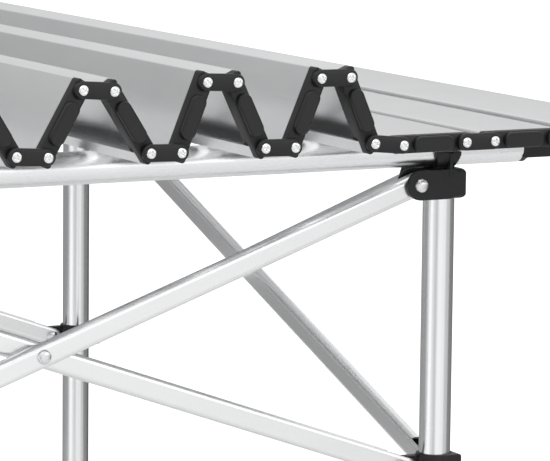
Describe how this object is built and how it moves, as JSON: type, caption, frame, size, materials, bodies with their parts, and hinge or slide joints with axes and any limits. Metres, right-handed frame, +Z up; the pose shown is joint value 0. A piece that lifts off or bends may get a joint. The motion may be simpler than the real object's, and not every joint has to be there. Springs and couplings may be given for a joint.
{
  "type": "folding table",
  "caption": "Roll-top folding camping table: slatted aluminium top, half folded in a zigzag, on two loose rails over a scissor frame with tube legs.",
  "frame": {"origin": "on the floor, at the centre of the bounding box and of the four legs", "axes": "+X along the rails, in the direction the top unrolls; +Y along the slats, away from the near side; +Z up"},
  "size_m": [0.724, 0.7098, 0.7413],
  "materials": {
    "anodised_tube": "bright anodised, satin",
    "slat_aluminium": "brushed along the slats, satin",
    "black_plastic": "fine moulded grain",
    "foot_rubber": "matt",
    "rivet_steel": "plated"
  },
  "bodies": {
    "leg_front_right": {"leg_front_right": "anodised_tube", "foot_front_right": "foot_rubber", "bracket_front_right": "black_plastic"},
    "leg_back_right": {"leg_back_right": "anodised_tube", "foot_back_right": "foot_rubber", "bracket_back_right": "black_plastic"},
    "leg_back_left": {"leg_back_left": "anodised_tube", "foot_back_left": "foot_rubber", "bracket_back_left": "black_plastic"},
    "leg_front_left": {"leg_front_left": "anodised_tube", "foot_front_left": "foot_rubber", "bracket_front_left": "black_plastic"},
    "slider_front_right": {"slider_front_right": "black_plastic"},
    "slider_back_right": {"slider_back_right": "black_plastic"},
    "slider_back_left": {"slider_back_left": "black_plastic"},
    "slider_front_left": {"slider_front_left": "black_plastic"},
    "arm_front_outer": {"arm_front_outer": "anodised_tube", "rivets_front_outer": "rivet_steel"},
    "arm_front_inner": {"arm_front_inner": "anodised_tube", "rivets_front_inner": "rivet_steel"},
    "arm_right_outer": {"arm_right_outer": "anodised_tube", "rivets_right_outer": "rivet_steel"},
    "arm_right_inner": {"arm_right_inner": "anodised_tube", "rivets_right_inner": "rivet_steel"},
    "arm_back_outer": {"arm_back_outer": "anodised_tube", "rivets_back_outer": "rivet_steel"},
    "arm_back_inner": {"arm_back_inner": "anodised_tube", "rivets_back_inner": "rivet_steel"},
    "arm_left_outer": {"arm_left_outer": "anodised_tube", "rivets_left_outer": "rivet_steel"},
    "arm_left_inner": {"arm_left_inner": "anodised_tube", "rivets_left_inner": "rivet_steel"},
    "rail_front": {"rail_front": "anodised_tube", "rail_ends_front": "black_plastic"},
    "rail_back": {"rail_back": "anodised_tube", "rail_ends_back": "black_plastic"},
    "slat_01": {"slat_01": "slat_aluminium"},
    "slat_02": {"slat_02": "slat_aluminium"},
    "slat_03": {"slat_03": "slat_aluminium"},
    "slat_04": {"slat_04": "slat_aluminium"},
    "slat_05": {"slat_05": "slat_aluminium"},
    "slat_06": {"slat_06": "slat_aluminium"},
    "slat_07": {"slat_07": "slat_aluminium"},
    "slat_08": {"slat_08": "slat_aluminium"},
    "slat_09": {"slat_09": "slat_aluminium"},
    "slat_10": {"slat_10": "slat_aluminium"},
    "slat_11": {"slat_11": "slat_aluminium"},
    "slat_12": {"slat_12": "slat_aluminium"},
    "link_01": {"link_01": "black_plastic"},
    "link_02": {"link_02": "black_plastic"},
    "link_03": {"link_03": "black_plastic"},
    "link_04": {"link_04": "black_plastic"},
    "link_05": {"link_05": "black_plastic"},
    "link_06": {"link_06": "black_plastic"},
    "link_07": {"link_07": "black_plastic"},
    "link_08": {"link_08": "black_plastic"},
    "link_09": {"link_09": "black_plastic"},
    "link_10": {"link_10": "black_plastic"},
    "link_11": {"link_11": "black_plastic"}
  },
  "joints": [
    {"name": "frame_fold", "type": "hinge", "parent": "leg_front_right", "child": "arm_front_outer", "pos_m": [0.2415, -0.26475, 0.66], "axis": [0, -1, 0], "range_deg": [0, 67.5]},
    {"name": "front_cross", "type": "hinge", "parent": "arm_front_outer", "child": "arm_front_inner", "pos_m": [0, -0.26, 0.574], "axis": [0, -1, 0], "range_deg": [-135.5, 0]},
    {"name": "front_inner_top", "type": "hinge", "parent": "arm_front_inner", "child": "leg_front_left", "pos_m": [-0.2415, -0.25525, 0.66], "axis": [0, -1, 0], "range_deg": [0, 68]},
    {"name": "front_outer_foot", "type": "hinge", "parent": "arm_front_outer", "child": "slider_front_left", "pos_m": [-0.2415, -0.26475, 0.488], "axis": [0, -1, 0], "range_deg": [-68, 0]},
    {"name": "front_inner_foot", "type": "hinge", "parent": "arm_front_inner", "child": "slider_front_right", "pos_m": [0.2415, -0.25525, 0.488], "axis": [0, -1, 0], "range_deg": [0, 68]},
    {"name": "right_inner_top", "type": "hinge", "parent": "leg_front_right", "child": "arm_right_inner", "pos_m": [0.25525, -0.2415, 0.66], "axis": [1, 0, 0], "range_deg": [-68, 0]},
    {"name": "right_cross", "type": "hinge", "parent": "arm_right_inner", "child": "arm_right_outer", "pos_m": [0.26, 0, 0.574], "axis": [1, 0, 0], "range_deg": [0, 135.5]},
    {"name": "right_outer_top", "type": "hinge", "parent": "arm_right_outer", "child": "leg_back_right", "pos_m": [0.26475, 0.2415, 0.66], "axis": [1, 0, 0], "range_deg": [-68, 0]},
    {"name": "right_inner_foot", "type": "hinge", "parent": "arm_right_inner", "child": "slider_back_right", "pos_m": [0.25525, 0.2415, 0.488], "axis": [1, 0, 0], "range_deg": [0, 68]},
    {"name": "left_outer_top", "type": "hinge", "parent": "leg_front_left", "child": "arm_left_outer", "pos_m": [-0.26475, -0.2415, 0.66], "axis": [-1, 0, 0], "range_deg": [0, 68]},
    {"name": "left_cross", "type": "hinge", "parent": "arm_left_outer", "child": "arm_left_inner", "pos_m": [-0.26, 0, 0.574], "axis": [-1, 0, 0], "range_deg": [-135.5, 0]},
    {"name": "left_inner_top", "type": "hinge", "parent": "arm_left_inner", "child": "leg_back_left", "pos_m": [-0.25525, 0.2415, 0.66], "axis": [-1, 0, 0], "range_deg": [0, 68]},
    {"name": "left_outer_foot", "type": "hinge", "parent": "arm_left_outer", "child": "slider_back_left", "pos_m": [-0.26475, 0.2415, 0.488], "axis": [-1, 0, 0], "range_deg": [-68, 0]},
    {"name": "back_inner_top", "type": "hinge", "parent": "leg_back_right", "child": "arm_back_inner", "pos_m": [0.2415, 0.25525, 0.66], "axis": [0, 1, 0], "range_deg": [-68, 0]},
    {"name": "back_cross", "type": "hinge", "parent": "arm_back_inner", "child": "arm_back_outer", "pos_m": [0, 0.26, 0.574], "axis": [0, 1, 0], "range_deg": [0, 135.5]},
    {"name": "rail_lift", "type": "slide", "parent": "leg_front_right", "child": "rail_front", "axis": [0, 0, 1], "range_m": [0, 0.12]},
    {"name": "rail_back_lift", "type": "slide", "parent": "leg_back_right", "child": "rail_back", "axis": [0, 0, 1], "range_m": [0, 0.121]},
    {"name": "top_lift", "type": "slide", "parent": "rail_front", "child": "slat_10", "axis": [0, 0, 1], "range_m": [0, 0.12]},
    {"name": "knuckle_link_09", "type": "hinge", "parent": "slat_10", "child": "link_09", "pos_m": [0.183, 0, 0.695], "axis": [0, -1, 0], "range_deg": [-20, 0]},
    {"name": "knuckle_slat_09", "type": "hinge", "parent": "link_09", "child": "slat_09", "pos_m": [0.16459, 0, 0.69677], "axis": [0, 1, 0], "range_deg": [0, 20]},
    {"name": "knuckle_link_08", "type": "hinge", "parent": "slat_09", "child": "link_08", "pos_m": [0.14857, 0, 0.73451], "axis": [0, -1, 0], "range_deg": [-20, 0]},
    {"name": "knuckle_slat_08", "type": "hinge", "parent": "link_08", "child": "slat_08", "pos_m": [0.13007, 0, 0.73467], "axis": [0, 1, 0], "range_deg": [0, 20]},
    {"name": "knuckle_link_07", "type": "hinge", "parent": "slat_08", "child": "link_07", "pos_m": [0.11405, 0, 0.69693], "axis": [0, -1, 0], "range_deg": [-20, 0]},
    {"name": "knuckle_slat_07", "type": "hinge", "parent": "link_07", "child": "slat_07", "pos_m": [0.09555, 0, 0.69726], "axis": [0, 1, 0], "range_deg": [0, 20]},
    {"name": "knuckle_link_06", "type": "hinge", "parent": "slat_07", "child": "link_06", "pos_m": [0.0779, 0, 0.73426], "axis": [0, -1, 0], "range_deg": [-20, 0]},
    {"name": "knuckle_slat_06", "type": "hinge", "parent": "link_06", "child": "slat_06", "pos_m": [0.05942, 0, 0.73507], "axis": [0, 1, 0], "range_deg": [0, 20]},
    {"name": "knuckle_link_05", "type": "hinge", "parent": "slat_06", "child": "link_05", "pos_m": [0.04406, 0, 0.69706], "axis": [0, -1, 0], "range_deg": [-20, 0]},
    {"name": "knuckle_slat_05", "type": "hinge", "parent": "link_05", "child": "slat_05", "pos_m": [0.02556, 0, 0.69754], "axis": [0, 1, 0], "range_deg": [0, 20]},
    {"name": "knuckle_link_04", "type": "hinge", "parent": "slat_05", "child": "link_04", "pos_m": [0.00353, 0, 0.73212], "axis": [0, -1, 0], "range_deg": [-20, 0]},
    {"name": "knuckle_slat_04", "type": "hinge", "parent": "link_04", "child": "slat_04", "pos_m": [-0.01492, 0, 0.73341], "axis": [0, 1, 0], "range_deg": [0, 20]},
    {"name": "knuckle_link_03", "type": "hinge", "parent": "slat_04", "child": "link_03", "pos_m": [-0.03542, 0, 0.6979], "axis": [0, -1, 0], "range_deg": [-20, 0]},
    {"name": "knuckle_slat_03", "type": "hinge", "parent": "link_03", "child": "slat_03", "pos_m": [-0.05389, 0, 0.69903], "axis": [0, 1, 0], "range_deg": [0, 20]},
    {"name": "knuckle_link_02", "type": "hinge", "parent": "slat_03", "child": "link_02", "pos_m": [-0.07561, 0, 0.7338], "axis": [0, -1, 0], "range_deg": [-20, 0]},
    {"name": "knuckle_slat_02", "type": "hinge", "parent": "link_02", "child": "slat_02", "pos_m": [-0.09411, 0, 0.7338], "axis": [0, 1, 0], "range_deg": [0, 20]},
    {"name": "knuckle_link_01", "type": "hinge", "parent": "slat_02", "child": "link_01", "pos_m": [-0.11821, 0, 0.70063], "axis": [0, -1, 0], "range_deg": [-20, 0]},
    {"name": "knuckle_slat_01", "type": "hinge", "parent": "link_01", "child": "slat_01", "pos_m": [-0.14055, 0, 0.69789], "axis": [0, 1, 0], "range_deg": [0, 20]},
    {"name": "end_fold_link_10", "type": "hinge", "parent": "slat_10", "child": "link_10", "pos_m": [0.224, 0, 0.695], "axis": [0, -1, 0], "range_deg": [0, 6.5]},
    {"name": "end_fold", "type": "hinge", "parent": "link_10", "child": "slat_11", "pos_m": [0.2425, 0, 0.695], "axis": [0, -1, 0], "range_deg": [0, 60]},
    {"name": "end_fold_link_11", "type": "hinge", "parent": "slat_11", "child": "link_11", "pos_m": [0.2835, 0, 0.695], "axis": [0, -1, 0], "range_deg": [-70.5, 0]},
    {"name": "end_fold_slat_12", "type": "hinge", "parent": "link_11", "child": "slat_12", "pos_m": [0.306, 0, 0.695], "axis": [0, -1, 0], "range_deg": [-40.06, 0]}
  ],
  "couplings": [
    {"joint": "front_cross", "follows": "frame_fold", "ratio": -2},
    {"joint": "front_inner_top", "follows": "frame_fold", "ratio": 1},
    {"joint": "front_outer_foot", "follows": "frame_fold", "ratio": -1},
    {"joint": "front_inner_foot", "follows": "frame_fold", "ratio": 1},
    {"joint": "right_inner_top", "follows": "frame_fold", "ratio": -1},
    {"joint": "right_cross", "follows": "frame_fold", "ratio": 2},
    {"joint": "right_outer_top", "follows": "frame_fold", "ratio": -1},
    {"joint": "right_inner_foot", "follows": "frame_fold", "ratio": 1},
    {"joint": "left_outer_top", "follows": "frame_fold", "ratio": 1},
    {"joint": "left_cross", "follows": "frame_fold", "ratio": -2},
    {"joint": "left_inner_top", "follows": "frame_fold", "ratio": 1},
    {"joint": "left_outer_foot", "follows": "frame_fold", "ratio": -1},
    {"joint": "back_inner_top", "follows": "frame_fold", "ratio": -1},
    {"joint": "back_cross", "follows": "frame_fold", "ratio": 2},
    {"joint": "rail_back_lift", "follows": "rail_lift", "ratio": 1},
    {"joint": "end_fold_link_10", "follows": "end_fold", "ratio": 0.1},
    {"joint": "end_fold_link_11", "follows": "end_fold", "ratio": -1.1667},
    {"joint": "end_fold_slat_12", "follows": "end_fold", "ratio": -0.65933}
  ]
}
